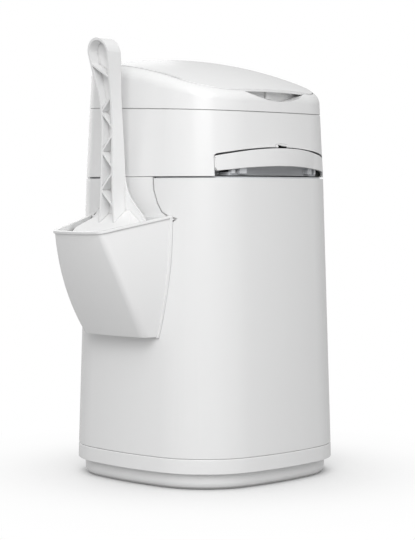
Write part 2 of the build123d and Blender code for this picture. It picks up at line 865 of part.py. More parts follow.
# Refill cassette: a ring-shaped trough that holds the gathered film.
cassette_z = chassis_z + chassis_thickness
bag_gap = 0.4
with BuildPart() as refill_cassette:
    with BuildSketch(Plane.XZ):
        with BuildLine():
            low, high = cassette_z, cassette_z + cassette_height
            inner, outer = film_bore + cassette_lip, cassette_radius
            Polyline(
                (film_bore, low), (outer, low), (outer, high), (outer - cassette_lip, high),
                (outer - cassette_lip, high - cassette_wall),
                (outer - cassette_wall, high - cassette_wall),
                (outer - cassette_wall, low + cassette_wall),
                (inner, low + cassette_wall), (inner, high - cassette_lip),
                (film_bore, high - cassette_lip), close=True,
            )
        make_face()
    revolve(axis=Axis.Z)
refill_cassette.part.label = "refill_cassette"
export_step(refill_cassette.part, "parts/refill_cassette.step")

with BuildPart() as gathered_film:
    with BuildSketch(Plane.XY.offset(cassette_z + cassette_wall)):
        Circle(cassette_radius - cassette_wall - bag_gap)
        Circle(film_bore + cassette_lip + bag_gap, mode=Mode.SUBTRACT)
    extrude(amount=cassette_height / 2)
gathered_film.part.label = "gathered_film"
export_step(gathered_film.part, "parts/gathered_film.step")

# ================================================================ jaws and drawer
drawer_travel = 60.0
pad_depth = 3.0              # soft jaw pads
pad_height = 5.0
jaw_half = rail_inner - slide_gap
tongue_half = jaw_half + tongue_reach
plate_high = plate_low + plate_thickness
fixed_front = jaw_line + jaw_gap / 2 + pad_depth
moving_rear = jaw_line - jaw_gap / 2 - pad_depth
drawer_setback = 21.1        # from the widest place in to the drawer's front edge
drawer_front = drawer_setback - widest_half
spring_margin = 7.6          # from a rail's face in to the spring beside it
spring_place = rail_inner - spring_margin
spring_radius = 2.6
spring_hole = 1.8
lug_thickness = 3.0
lug_height = 6.4
spring_reach = 52.0

spring_z = plate_high + lug_height / 2


def jaw_plate(front, rear):
    """A flat plate between two lines along Y, with a tongue on each side."""
    plate = boxed((-jaw_half, jaw_half), (front, rear), (plate_low, plate_high))
    tongues = boxed(
        (-tongue_half, tongue_half), (front, rear), (tongue_low, tongue_low + tongue_height)
    )
    return plate + tongues


def spring_lug(y):
    """Two small upright lugs on a plate, one for each spring."""
    lugs = [
        boxed(
            (x - spring_radius, x + spring_radius),
            (y - lug_thickness / 2, y + lug_thickness / 2),
            (plate_high - seat_gap, plate_high + lug_height),
        )
        for x in (-spring_place, spring_place)
    ]
    return lugs


lug_front = moving_rear - lug_thickness
lug_rear = lug_front + spring_reach
with BuildPart() as fixed_jaw:
    add(jaw_plate(fixed_front, rail_rear))
    add(spring_lug(lug_rear))
    with BuildSketch(Plane.XY.offset(plate_low)):
        with Locations((0, rail_rear)):
            Circle(film_bore / 2)
    extrude(amount=plate_thickness, mode=Mode.SUBTRACT)
fixed_jaw.part.label = "fixed_jaw"
export_step(fixed_jaw.part, "parts/fixed_jaw.step")

# Pull handle: an arched band, flush at its ends and standing out at its middle.
band_height = (handle_low + handle_top) / 2
band_inset = head_at(band_height)
end_y = arc_centre + sqrt(
    (corner_radius - band_inset) ** 2 - (handle_half - arc_centre) ** 2
)
bulge_y = widest_half - band_inset + handle_bulge


def band_block(wall):
    """The wall of the head with the handle's bulge added, or its inner side."""
    with BuildPart() as block:
        low, high = head_bottom, cover_seam - 2 * locator_height
        add(drafted(low, head_at(low) + wall, high, head_at(high) + wall))
        with BuildSketch(Plane.XY.offset(low)):
            with BuildLine():
                arc = ThreePointArc(
                    (-handle_half, wall - end_y), (0, wall - bulge_y), (handle_half, wall - end_y)
                )
                Polyline(arc @ 1, (handle_half, 0), (-handle_half, 0), arc @ 0)
            make_face()
        extrude(amount=high - low)
    return block.part


with BuildPart() as pull_handle:
    with BuildSketch(Plane.XZ.offset(widest_half / 2)) as band_face:
        with BuildLine():
            upper = ThreePointArc(
                (-handle_half, handle_top_end), (0, handle_top), (handle_half, handle_top_end)
            )
            right = Line(upper @ 1, (handle_half, handle_low_end))
            lower = ThreePointArc(
                right @ 1, (0, handle_low), (-handle_half, handle_low_end)
            )
            Line(lower @ 1, upper @ 0)
        make_face()
        fillet(band_face.vertices(), notch_round - notch_rise)
    extrude(amount=widest_half)
    add(band_block(0), mode=Mode.INTERSECT)
    add(band_block(handle_thickness), mode=Mode.SUBTRACT)
pull_handle.part.label = "pull_handle"
export_step(pull_handle.part, "parts/pull_handle.step")

# Set-in from the rail and width of the two posts each side behind the band.
post_form = ((15.1, 8.0), (4.1, 4.0))
stop_thickness = 2.0
stop_drop = 2.2              # the wall behind the handle ends this far under its top
stop_top = handle_top_end - notch_rise - stop_drop
with BuildPart() as drawer_frame:
    add(jaw_plate(rail_front + slide_gap, moving_rear))
    add(boxed((-jaw_half, jaw_half), (drawer_front, rail_front + lug_thickness), (plate_low, plate_high)))
    add(spring_lug(lug_front))
    for set_in, width in post_form:
        x = rail_inner - set_in
        for side in (-1, 1):
            add(
                boxed(
                    tuple(sorted((side * (x - width / 2), side * (x + width / 2)))),
                    (-widest_half, drawer_front + lug_thickness),
                    (plate_low + plate_thickness / 2, handle_top_end - notch_rise),
                )
            )
    # a low wall between the posts stops the fingers
    inner_half = rail_inner - post_form[0][0]
    add(
        boxed(
            (-inner_half, inner_half),
            (drawer_front, drawer_front + stop_thickness),
            (plate_high - seat_gap, stop_top),
        )
    )
    # the posts end on the back of the band
    add(band_block(handle_thickness + seat_gap), mode=Mode.INTERSECT)
drawer_frame.part.label = "drawer_frame"
export_step(drawer_frame.part, "parts/drawer_frame.step")

for name, front, rear in (
    ("moving_jaw_pad", moving_rear, jaw_line - jaw_gap / 2),
    ("fixed_jaw_pad", jaw_line + jaw_gap / 2, fixed_front),
):
    with BuildPart() as pad:
        pad_half = spring_place - spring_radius - slide_gap
        add(
            boxed(
                (-pad_half, pad_half), (front, rear),
                (plate_low, plate_low + pad_height),
            )
        )
        fillet(pad.edges().filter_by(Axis.X), pad_depth / 4)
    pad.part.label = name
    export_step(pad.part, "parts/" + name + ".step")

with BuildPart() as return_springs:
    start = lug_front + lug_thickness / 2 + slide_gap
    end = lug_rear - lug_thickness / 2 - slide_gap
    with BuildSketch(Plane.XZ.offset(-end)):
        with Locations((-spring_place, spring_z), (spring_place, spring_z)):
            Circle(spring_radius)
            Circle(spring_hole, mode=Mode.SUBTRACT)
    extrude(amount=end - start)
return_springs.part.label = "return_springs"
export_step(return_springs.part, "parts/return_springs.step")

# ================================================================ release button
button_stand = 1.2           # it stands out of the head's wall by this much
button_depth = 15.0
button_travel = 2.5
button_y = widest_half - head_at(button_top) + button_stand
with BuildPart() as release_button:
    with BuildSketch(Plane.XZ.offset(button_y - button_depth)):
        with BuildLine():
            arch = ThreePointArc(
                (-button_half, button_top - 2 * slide_gap), (0, button_top),
                (button_half, button_top - 2 * slide_gap),
            )
            Polyline(arch @ 1, (button_half, button_low), (-button_half, button_low), arch @ 0)
        make_face()
    extrude(amount=button_depth)
    slot_half = button_half * 2 / 3
    add(
        boxed(
            (-slot_half, slot_half),
            (-button_y, button_stand - button_y),
            (button_low + slide_gap, button_low + 4 * slide_gap),
        ),
        mode=Mode.SUBTRACT,
    )
release_button.part.label = "release_button"
export_step(release_button.part, "parts/release_button.step")
print("drawer and button built")

# ================================================================ scoop
scoop_low = pocket_bottom + holder_floor + slide_gap
handle_rise = 138.2          # the scoop's top over the sleeve's rim
scoop_top = sleeve_top + handle_rise
band_thickness = 2.5
web_thickness = 1.8
web_set = 4.1                # from the handle's inner face to the web
strut_thickness = 2.0
blade_wall = 2.2
# Height over the sleeve's rim, inner and outer faces beyond the pail's widest place,
# and half width.
handle_form = (
    (124.2, 14.9, 31.9, 14.8),
    (100.8, 11.2, 27.2, 11.9),
    (80.2, 8.6, 22.6, 9.4),
    (57.2, 6.3, 19.9, 8.5),
    (30.2, 4.5, 19.7, 8.8),
    (8.2, 3.5, 20.0, 9.2),
    (-1.8, 3.3, 20.1, 9.5),
    (-16.8, 3.1, 20.2, 9.9),
    (-26.8, 2.9, 20.3, 10.5),
    (-41.8, 2.9, 20.4, 11.8),
    (-56.8, 2.9, 20.4, 12.8),
)
# The plate behind the handle spreads towards the tray: height over the sleeve's rim
# and half width.
flare_form = ((8.2, 9.2), (-1.8, 10.2), (-16.8, 16.0), (-26.8, 24.7), (-41.8, 39.0), (-56.8, 44.0))
scoop_stations = [
    (sleeve_top + rise, widest_half + near, widest_half + far, half)
    for rise, near, far, half in handle_form
]
flare_stations = [(sleeve_top + rise, half) for rise, half in flare_form]
scoop_foot = scoop_stations[-1][0]


def front_face(inset, low=scoop_foot):
    """The handle's outline as seen from the pail, Y across and Z up."""
    with BuildSketch() as face:
        with BuildLine():
            points = [(half - inset, z) for z, near, far, half in scoop_stations]
            points[-1] = (points[-1][0], low)
            side = Spline(*points)
            mirrored = Spline(*[(-y, z) for y, z in points])
            ThreePointArc(side @ 0, (0, scoop_top - inset), mirrored @ 0)
            Line(side @ 1, mirrored @ 1)
        make_face()
    return face.sketch


def flare_face():
    """The spreading plate's outline at the handle's foot."""
    with BuildSketch() as face:
        with BuildLine():
            side = Spline(*[(half, z) for z, half in flare_stations])
            mirrored = Spline(*[(-half, z) for z, half in flare_stations])
            Line(side @ 0, mirrored @ 0)
            Line(side @ 1, mirrored @ 1)
        make_face()
    return face.sketch


def handle_profile(set_in=0.0, depth=None):
    """The handle's side view as a block: all of it, or a layer along its inner face."""
    with BuildPart() as block:
        with BuildSketch(Plane.XZ.offset(-widest_half)):
            with BuildLine():
                lean = scoop_stations[0][2] - scoop_stations[1][2]
                rise = (scoop_top - scoop_stations[0][0]) / (
                    scoop_stations[0][0] - scoop_stations[1][0]
                )
                sides = []
                for side in (
                    [(-(near + set_in), z) for z, near, far, half in scoop_stations],
                    [
                        (-(far if depth is None else near + set_in + depth), z)
                        for z, near, far, half in scoop_stations
                    ],
                ):
                    crest = (side[0][0] - lean * rise, scoop_top)
                    sides.append(Spline(crest, *side))
                Line(sides[0] @ 0, sides[1] @ 0)
                Line(sides[0] @ 1, sides[1] @ 1)
            make_face()
        extrude(amount=2 * widest_half)
    return block.part


cut_depth = widest_half
# The struts' ends: side of the handle and height over the sleeve's rim.
strut_form = (
    ((1, 113.0), (-1, 98.9)),
    ((-1, 80.3), (1, 65.6)), ((1, 65.6), (-1, 50.0)),
    ((-1, 42.8), (1, 26.2)), ((1, 26.2), (-1, 10.6)),
    ((-1, 5.4), (1, -11.8)), ((1, -11.8), (-1, -27.9)),
)
strut_nodes = [
    [(side, sleeve_top + rise) for side, rise in ends] for ends in strut_form
]

# The tray's roof slopes outwards from the foot of the handle and to both sides.
roof_drop = 30.4             # its crest below the sleeve's rim
roof_slope = 0.78
crest_half = 18.0
hip_drop = 32.5              # the hips start this far below the sleeve's rim
tray_gap = 1.8               # between the tray and the pocket
tray_slim = 1.9              # and more at each side lower down, so that it lifts out freely
tray_face = -scoop_stations[-1][1]


def under_roof(block, lower=0.0):
    """What lies below the tray's roof, or below a roof lowered by a wall."""
    crest = sleeve_top - roof_drop - lower
    hip = sleeve_top - hip_drop - lower
    for origin, tilt in (
        ((tray_face, 0, crest), (-roof_slope, 0, 1)),
        ((0, -crest_half, hip), (0, -roof_slope, 1)),
        ((0, crest_half, hip), (0, roof_slope, 1)),
    ):
        block = block.split(Plane(origin=origin, z_dir=tilt), keep=Keep.BOTTOM)
    return block


def band_reach(height):
    """Half width of the handle at a height, from the stations."""
    for upper, lower in zip(scoop_stations, scoop_stations[1:]):
        if lower[0] <= height <= upper[0]:
            share = (height - lower[0]) / (upper[0] - lower[0])
            return lower[3] + share * (upper[3] - lower[3])
    return scoop_stations[0][3]


with BuildPart() as scoop_handle:
    with BuildSketch(Plane.YZ.offset(-widest_half)):
        add(front_face(0))
    extrude(amount=-cut_depth)
    with BuildSketch(Plane.YZ.offset(-widest_half)):
        add(front_face(band_thickness, scoop_foot - band_thickness))
    extrude(amount=-cut_depth, mode=Mode.SUBTRACT)
    for (left, left_z), (right, right_z) in strut_nodes:
        with BuildSketch(Plane.YZ.offset(-widest_half)):
            with BuildLine():
                ends = [
                    (side * (band_reach(z) - band_thickness / 2), z)
                    for side, z in ((left, left_z), (right, right_z))
                ]
                Line(*ends)
            trace(line_width=strut_thickness)
        extrude(amount=-cut_depth)
    add(handle_profile(), mode=Mode.INTERSECT)
    # closed web between the bands, near the pail
    with BuildPart() as web:
        with BuildSketch(Plane.YZ.offset(-widest_half)):
            add(front_face(band_thickness / 2))
        extrude(amount=-cut_depth)
        add(handle_profile(web_set, web_thickness), mode=Mode.INTERSECT)
    add(web.part)
    with BuildPart() as flare:
        with BuildSketch(Plane.YZ.offset(-widest_half)):
            add(flare_face())
        extrude(amount=-cut_depth)
        add(handle_profile(0.0, web_thickness), mode=Mode.INTERSECT)
    add(flare.part)
    below = boxed(
        (-2 * widest_half, -widest_half / 2), (-widest_half, widest_half),
        (pocket_bottom, scoop_top),
    )
    add(under_roof(below), mode=Mode.SUBTRACT)
scoop_handle.part.label = "scoop_handle"
export_step(scoop_handle.part, "parts/scoop_handle.step")

slot_width = 4.0
slot_count = 7
slot_pitch = 9.0
slot_margin = 14.0           # from the tray's lower edge up to its slots
slot_drop = 79.8             # and from the sleeve's rim down to them
slot_low = scoop_low + slot_margin
slot_high = sleeve_top - slot_drop
tray_wall = holder_wall + tray_gap
tray_floor = holder_floor + slide_gap
hollow_wall = tray_wall + blade_wall
with BuildPart() as scoop_tray:
    add(under_roof(pocket_body(tray_wall, tray_floor, tray_slim)))
    # its hollow opens towards the pail
    add(
        under_roof(
            pocket_body(hollow_wall, tray_floor + blade_wall, tray_slim), blade_wall
        ),
        mode=Mode.SUBTRACT,
    )
    with BuildSketch(Plane.YZ.offset(tray_face)):
        with Locations((0, (slot_low + slot_high) / 2)):
            with GridLocations(slot_pitch, 1, slot_count, 1):
                SlotOverall(slot_high - slot_low, slot_width, rotation=90)
    extrude(amount=-cut_depth, mode=Mode.SUBTRACT)
    split(bisect_by=Plane.YZ.offset(tray_face), keep=Keep.BOTTOM)
scoop_tray.part.label = "scoop_tray"
export_step(scoop_tray.part, "parts/scoop_tray.step")
print("scoop built")
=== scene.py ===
import math

import bpy
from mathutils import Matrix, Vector


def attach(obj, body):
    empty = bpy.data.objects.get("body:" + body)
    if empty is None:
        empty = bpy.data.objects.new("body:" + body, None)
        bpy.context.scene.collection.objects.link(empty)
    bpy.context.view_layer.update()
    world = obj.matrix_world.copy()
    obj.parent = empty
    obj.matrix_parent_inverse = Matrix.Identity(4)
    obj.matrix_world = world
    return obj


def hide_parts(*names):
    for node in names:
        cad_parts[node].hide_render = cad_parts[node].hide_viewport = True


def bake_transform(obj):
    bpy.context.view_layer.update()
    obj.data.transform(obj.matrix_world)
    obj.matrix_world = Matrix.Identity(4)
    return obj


# A white litter disposal pail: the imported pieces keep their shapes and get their
# finishes here, and the pieces that need finer forms are modelled over them.
# Lengths are in metres.

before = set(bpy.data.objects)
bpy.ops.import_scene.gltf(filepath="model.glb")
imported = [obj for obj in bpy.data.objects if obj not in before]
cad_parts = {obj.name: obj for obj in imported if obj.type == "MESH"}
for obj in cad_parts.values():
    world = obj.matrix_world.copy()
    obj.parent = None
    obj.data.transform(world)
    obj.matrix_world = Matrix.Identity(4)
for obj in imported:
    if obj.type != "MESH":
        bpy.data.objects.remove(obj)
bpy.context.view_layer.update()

# ------------------------------------------------------------------ photograph
PHOTO_WIDTH = 415.0
PHOTO_HEIGHT = 540.0
HORIZON_ROW = 193.5          # where the eye's height falls in the photograph
AXIS_COLUMN = 204.8          # where the pail's axis falls
FOCAL_PIXELS = 1721.0
EYE_HEIGHT = 0.2896
EYE_DISTANCE = 1.8019
EYE_AZIMUTH = math.radians(-45.3)


def make_camera():
    """The photograph's camera: level, with a small shift."""
    data = bpy.data.cameras.new("photo_camera")
    camera = bpy.data.objects.new("photo_camera", data)
    bpy.context.collection.objects.link(camera)
    camera.location = (
        math.sin(EYE_AZIMUTH) * EYE_DISTANCE,
        -math.cos(EYE_AZIMUTH) * EYE_DISTANCE,
        EYE_HEIGHT,
    )
    camera.rotation_euler = (math.radians(90), 0, EYE_AZIMUTH)
    data.lens = FOCAL_PIXELS / PHOTO_HEIGHT * data.sensor_width
    data.shift_x = (PHOTO_WIDTH / 2 - AXIS_COLUMN) / PHOTO_HEIGHT
    data.shift_y = (HORIZON_ROW - PHOTO_HEIGHT / 2) / PHOTO_HEIGHT
    bpy.context.scene.camera = camera


# ------------------------------------------------------------------ node maths
class Wire:
    """A socket that can be written in expressions."""

    def __init__(self, graph, socket):
        self.graph = graph
        self.socket = socket

    def _math(self, operation, first, second):
        return self.graph.node("Math", {"operation": operation}, {0: first, 1: second})

    def __add__(self, other):
        return self._math("ADD", self, other)

    def __radd__(self, other):
        return self._math("ADD", other, self)

    def __sub__(self, other):
        return self._math("SUBTRACT", self, other)

    def __rsub__(self, other):
        return self._math("SUBTRACT", other, self)

    def __mul__(self, other):
        return self._math("MULTIPLY", self, other)

    def __rmul__(self, other):
        return self._math("MULTIPLY", other, self)

    def __pow__(self, other):
        return self._math("POWER", self, other)


WHOLE = (0.0, 1.0)


class Graph:
    """A node tree, emptied, and the nodes that are put in it."""

    def __init__(self, tree, output):
        self.tree = tree
        self.tree.nodes.clear()
        self.output = self.tree.nodes.new("ShaderNode" + output)

    def node(self, kind, settings=None, inputs=None, take=0):
        """Adds a node: its settings first, then its sockets' values or links."""
        made = self.tree.nodes.new("ShaderNode" + kind)
        for key, value in (settings or {}).items():
            setattr(made, key, value)
        for key, value in (inputs or {}).items():
            socket = made.inputs[key]
            if isinstance(value, Wire):
                self.tree.links.new(value.socket, socket)
            else:
                socket.default_value = value
        return Wire(self, made.outputs[take])

    def show(self, shader):
        """Ends the tree with this shader."""
        self.tree.links.new(shader.socket, self.output.inputs["Surface"])

    def spread(self, value, source, target=WHOLE):
        """Maps one range of a value onto another, and holds it at the ends."""
        return self.node(
            "MapRange", {"clamp": True},
            {"Value": value, "From Min": source[0], "From Max": source[1],
             "To Min": target[0], "To Max": target[1]},
        )

    def ray(self, kind):
        """1 where the ray is of this kind."""
        return self.node("LightPath", take=f"Is {kind} Ray")

    def seen(self):
        """1 where the camera looks, also through a film."""
        return self.node(
            "Math", {"operation": "MAXIMUM"},
            {0: self.ray("Camera"), 1: self.ray("Transmission")},
        )


class Finish(Graph):
    """A material and the nodes that make it."""

    def __init__(self, name):
        self.material = bpy.data.materials.new(name)
        self.material.use_nodes = True
        super().__init__(self.material.node_tree, "OutputMaterial")

    def object_place(self):
        """Object coordinates, in metres."""
        return self.node("TexCoord", take="Object")

    def stretched(self, scale):
        """Object coordinates with their own scale along each axis."""
        return self.node(
            "Mapping", {}, {"Vector": self.object_place(), "Scale": scale}
        )

    def noise(self, scale, detail=3.0, rough=0.5, place=None):
        """A noise in space; its scale is in cells for each metre."""
        return self.node(
            "TexNoise", {"noise_dimensions": "3D"},
            {"Vector": place or self.object_place(), "Scale": scale,
             "Detail": detail, "Roughness": rough},
            "Fac",
        )

    def mix(self, factor, first, second):
        """Goes from the first colour to the second."""
        return self.node(
            "Mix", {"data_type": "RGBA"}, {0: factor, 6: first, 7: second}, take=2
        )

    def soft_edges(self, radius):
        """Normals rounded over the moulded edges."""
        return self.node("Bevel", {"samples": 6}, {"Radius": radius})

    def crevices(self, reach, tight=1.4):
        """1 on open faces, falling to 0 deep in seams and corners."""
        return self.node(
            "AmbientOcclusion", {"samples": 8}, {"Distance": reach}, "AO"
        ) ** tight

    def bump(self, height, distance, strength=1.0, normal=None):
        inputs = {"Height": height, "Distance": distance, "Strength": strength}
        if normal is not None:
            inputs["Normal"] = normal
        return self.node("Bump", {}, inputs)

    def surface(self, **sockets):
        """The shader itself; names are the sockets' with spaces as underscores."""
        inputs = {key.replace("_", " "): value for key, value in sockets.items()}
        self.show(self.node("BsdfPrincipled", {}, inputs))


def shade(level, tint=(1.0, 1.0, 1.0)):
    """A grey of this level, or a tinted one."""
    return tuple(level * part for part in tint) + (1.0,)


# ------------------------------------------------------------------ finishes
# What a noise's values span, with no detail and with it.
CALM_NOISE = (0.2, 0.8)
BUSY_NOISE = (0.3, 0.7)

# Moulded plastic.
COOL = (0.999, 1.0, 1.0)
SEAM_SHADE_TINT = (1.004, 1.0, 0.994)
CLOUD_SCALE = 4.0
CLOUD_SHADE = 0.998          # the clouds' darkest part, as a share of the level
WIPE_SCALE = 7.0
WIPE_GLOSS = (-0.003, 0.004)
PEEL_SCALE = 620.0
SEAM_REACH = 0.005
SEAM_OPEN = (0.1, 0.55)      # how open a seam with full painted shade and a face with none are

# Grained plastic.
GRAIN_SCALE = 900.0
DUST_SCALE = 150.0
DUST_SHARE = 0.25
PALEST = 0.9


def moulded_white(name, level, gloss, edge=0.0, peel=0.000003, seam_shade=0.5):
    """Satin injection-moulded plastic: very faint cloudiness, fine orange peel, gloss
    that changes slowly over the face, and painted shade that darkens the colour in
    seams and corners."""
    finish = Finish(name)
    clouds = finish.spread(finish.noise(CLOUD_SCALE, 0.0, 0.0), CALM_NOISE)
    colour = finish.mix(clouds, shade(level * CLOUD_SHADE, COOL), shade(level, COOL))
    # painted shade: ambient occlusion darkens the colour in seams, gaps and corners
    unshaded_share = finish.spread(finish.crevices(SEAM_REACH), SEAM_OPEN)
    colour = finish.mix(unshaded_share, shade(level * seam_shade, SEAM_SHADE_TINT), colour)
    wiped = finish.spread(finish.noise(WIPE_SCALE, 0.0, 0.0), CALM_NOISE, WIPE_GLOSS)
    skin = finish.noise(PEEL_SCALE, 1.0, 0.4)
    normal = finish.bump(skin, peel, 0.4, finish.soft_edges(edge) if edge else None)
    finish.surface(Base_Color=colour, Roughness=gloss + wiped, Normal=normal, IOR=1.5)
    return finish.material


def grained_plastic(name, level, tint, rough=0.5):
    """Matt plastic with a fine eroded grain, for the inner frames."""
    finish = Finish(name)
    grain = finish.noise(GRAIN_SCALE, 3.0, 0.7)
    clouds = finish.spread(finish.noise(24.0), BUSY_NOISE)
    dust = finish.spread(finish.noise(DUST_SCALE, 4.0, 0.7), (0.55, 0.8))
    colour = finish.mix(clouds, shade(level * 0.94, tint), shade(level, tint))
    pale = shade(min(level * 1.15, PALEST), tint)
    finish.surface(
        Base_Color=finish.mix(dust * DUST_SHARE, colour, pale),
        Normal=finish.bump(grain, 0.00005, 0.6, finish.soft_edges(0.0005)),
        Roughness=finish.spread(grain, BUSY_NOISE, (rough - 0.06, rough + 0.08)),
        IOR=1.46,
    )
    return finish.material


def soft_rubber(name):
    """Dark moulded rubber with a dusty bloom and fine pits."""
    finish = Finish(name)
    bloom = finish.spread(finish.noise(70.0, 5.0, 0.7), (0.45, 0.75))
    pits = finish.noise(1500.0, 2.0)
    finish.surface(
        Base_Color=finish.mix(bloom, shade(0.035), shade(0.075, (1.02, 1.0, 0.96))),
        Roughness=finish.spread(bloom, WHOLE, (0.62, 0.8)),
        Normal=finish.bump(pits, 0.00006, 0.7, finish.soft_edges(0.0004)),
        IOR=1.5,
    )
    return finish.material


def turned_steel(name):
    """Bright steel with fine turning marks round its length, and a few smudges."""
    finish = Finish(name)
    marks = finish.noise(4.0, 5.0, 0.7, finish.stretched((600.0, 20.0, 20.0)))
    smudge = finish.spread(finish.noise(90.0), BUSY_NOISE)
    finish.surface(
        Base_Color=finish.mix(smudge, shade(0.52, (1, 1, 1.02)), shade(0.66)),
        Metallic=1.0,
        Roughness=finish.spread(marks, (0.25, 0.75), (0.18, 0.34)),
        Normal=finish.bump(marks, 0.00003, 0.5, finish.soft_edges(0.0002)),
    )
    return finish.material


def thin_film(name):
    """Gathered plastic film: milky, with fine creases."""
    finish = Finish(name)
    creases = finish.noise(240.0, 5.0, 0.65, finish.stretched((1.0, 1.0, 5.0)))
    finish.surface(
        Base_Color=finish.mix(creases, shade(0.78, (0.97, 0.99, 1.0)), shade(0.9)),
        Roughness=finish.spread(creases, BUSY_NOISE, (0.16, 0.4)),
        Normal=finish.bump(creases, 0.0004, 0.7),
        IOR=1.5,
    )
    return finish.material


def paint(node, material):
    """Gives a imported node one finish."""
    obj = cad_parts[node]
    obj.data.materials.clear()
    obj.data.materials.append(material)


FINISHES = {
    "body": moulded_white("sleeve_plastic", 0.86, 0.27),
    "head": moulded_white("head_plastic", 0.88, 0.25),
    "lid": moulded_white("lid_plastic", 0.87, 0.27),
    "handle": moulded_white("handle_plastic", 0.88, 0.16, peel=0.000002),
    "holder": moulded_white("holder_plastic", 0.88, 0.26, edge=0.0009),
    "scoop": moulded_white("scoop_plastic", 0.88, 0.24, edge=0.0006, seam_shade=0.68),
    "grey": grained_plastic("frame_plastic", 0.66, (0.98, 1.0, 1.03)),
    "cassette": grained_plastic("cassette_plastic", 0.72, (0.97, 1.0, 1.03), 0.42),
    "rubber": soft_rubber("pad_rubber"),
    "steel": turned_steel("pin_steel"),
    "film": thin_film("bag_film"),
}
WHO_WEARS = {
    "body": ("floor_pan", "outer_sleeve"),
    "head": ("head_housing", "top_cover"),
    "lid": ("lid_shell", "lid_liner", "lid_catch"),
    "handle": ("pull_handle", "release_button"),
    "holder": ("scoop_holder",),
    "scoop": ("scoop_handle", "scoop_tray"),
    "grey": ("rim_collar", "cassette_chassis", "left_rail", "right_rail",
             "cassette_deck", "fixed_jaw", "drawer_frame"),
    "cassette": ("refill_cassette",),
    "rubber": ("rubber_feet", "lid_seal", "fixed_jaw_pad", "moving_jaw_pad"),
    "steel": ("head_hinge_pin", "lid_hinge_pin", "chassis_screws", "return_springs"),
    "film": ("gathered_film",),
}
for finish_name, nodes in WHO_WEARS.items():
    for node in nodes:
        paint(node, FINISHES[finish_name])


# ------------------------------------------------------------------ rounded edges
WELD_GAP = 0.000002
FLAT_ANGLE = math.radians(0.6)       # triangles this close to level are one face
SHARP_ANGLE = math.radians(38.0)     # and an edge sharper than this is rounded
EDGE_STEPS = 2
EDGE_RADII = {
    "scoop_tray": 0.0004, "release_button": 0.0005, "drawer_frame": 0.0005,
    "fixed_jaw": 0.0005, "refill_cassette": 0.0006, "lid_shell": 0.0004,
    "outer_sleeve": 0.0004, "pull_handle": 0.0007, "floor_pan": 0.0005,
}


def round_edges(node, radius):
    """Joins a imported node's triangles and rounds its moulded edges."""
    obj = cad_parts[node]
    weld = obj.modifiers.new("joined", "WELD")
    weld.merge_threshold = WELD_GAP
    flat = obj.modifiers.new("flat_faces", "DECIMATE")
    flat.decimate_type = "DISSOLVE"
    flat.angle_limit = FLAT_ANGLE
    rounded = obj.modifiers.new("rounded_edges", "BEVEL")
    rounded.width = radius
    rounded.segments = EDGE_STEPS
    rounded.limit_method = "ANGLE"
    rounded.angle_limit = SHARP_ANGLE
    rounded.use_clamp_overlap = False
    rounded.miter_outer = "MITER_ARC"
    smooth = obj.modifiers.new("even_shading", "WEIGHTED_NORMAL")
    smooth.keep_sharp = True


for node, radius in EDGE_RADII.items():
    round_edges(node, radius)


# ------------------------------------------------------------------ modelled pieces
SMOOTH_ANGLE = math.radians(40)


def clear_choice():
    bpy.ops.object.select_all(action="DESELECT")


def choose(obj, test):
    """Selects the points of a piece that pass a test of their place."""
    bpy.ops.object.mode_set(mode="EDIT")
    bpy.ops.mesh.select_mode(type="VERT")
    bpy.ops.mesh.select_all(action="DESELECT")
    bpy.ops.object.mode_set(mode="OBJECT")
    for point in obj.data.vertices:
        point.select = bool(test(point.co))
    bpy.ops.object.mode_set(mode="EDIT")


def apply_all(obj):
    bpy.ops.object.mode_set(mode="OBJECT")
    for modifier in list(obj.modifiers):
        bpy.ops.object.modifier_apply(modifier=modifier.name)


def settle(obj, name, material):
    """Ends a piece: place in the mesh, a name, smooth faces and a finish."""
    bpy.ops.object.mode_set(mode="OBJECT")
    bpy.ops.object.transform_apply(location=True, rotation=True, scale=True)
    bpy.ops.object.shade_smooth_by_angle(angle=SMOOTH_ANGLE)
    obj.name = name
    obj.data.materials.clear()
    obj.data.materials.append(material)


# Return springs, one on each side.
SPRING_PLACE = 0.057
SPRING_HEIGHT = 0.3142
SPRING_REAR, SPRING_FRONT = 0.0429, -0.0055
COIL_RADIUS = 0.0021
COIL_TURNS = 38
COIL_STEPS = 16
WIRE_RADIUS = 0.00045
WIRE_SIDES = 8


def wind_spring(side, name):
    """A close-wound pull spring between the head's lug and the drawer's."""
    clear_choice()
    bpy.ops.mesh.primitive_circle_add(
        vertices=WIRE_SIDES, radius=WIRE_RADIUS,
        location=(side * SPRING_PLACE, SPRING_FRONT, SPRING_HEIGHT),
    )
    spring = bpy.context.object
    bpy.ops.object.mode_set(mode="EDIT")
    bpy.ops.transform.translate(value=(COIL_RADIUS, WIRE_RADIUS, 0))
    bpy.ops.object.mode_set(mode="OBJECT")
    winding = spring.modifiers.new("winding", "SCREW")
    winding.axis = "Y"
    winding.steps = winding.render_steps = COIL_STEPS
    winding.iterations = COIL_TURNS
    winding.screw_offset = (SPRING_REAR - SPRING_FRONT - 2 * WIRE_RADIUS) / COIL_TURNS
    apply_all(spring)
    bpy.ops.object.mode_set(mode="EDIT")
    bpy.ops.mesh.select_all(action="SELECT")
    bpy.ops.mesh.remove_doubles(threshold=WELD_GAP)
    bpy.ops.mesh.fill_holes(sides=0)
    bpy.ops.mesh.select_all(action="SELECT")
    bpy.ops.mesh.normals_make_consistent(inside=False)
    settle(spring, name, FINISHES["steel"])
    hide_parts("return_springs")
    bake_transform(spring)


# Gathered film.
FILM_MIDDLE = 0.0755
FILM_HALF = 0.0089
FILM_LOW, FILM_HIGH = 0.3243, 0.3457
FILM_FOLDS = 180
FILM_SIDES = 12
FOLD_ROOM = 0.07             # of its stretch, left for what the folds rise
FOLD_RUNS = (                # every so many points, from which, how far out and up
    (2, 0, 1.011, 0.0003), (2, 1, 0.990, -0.0004), (14, 4, 1.004, 0.0004),
    (22, 9, 0.995, -0.0003), (34, 16, 1.003, 0.0002),
)


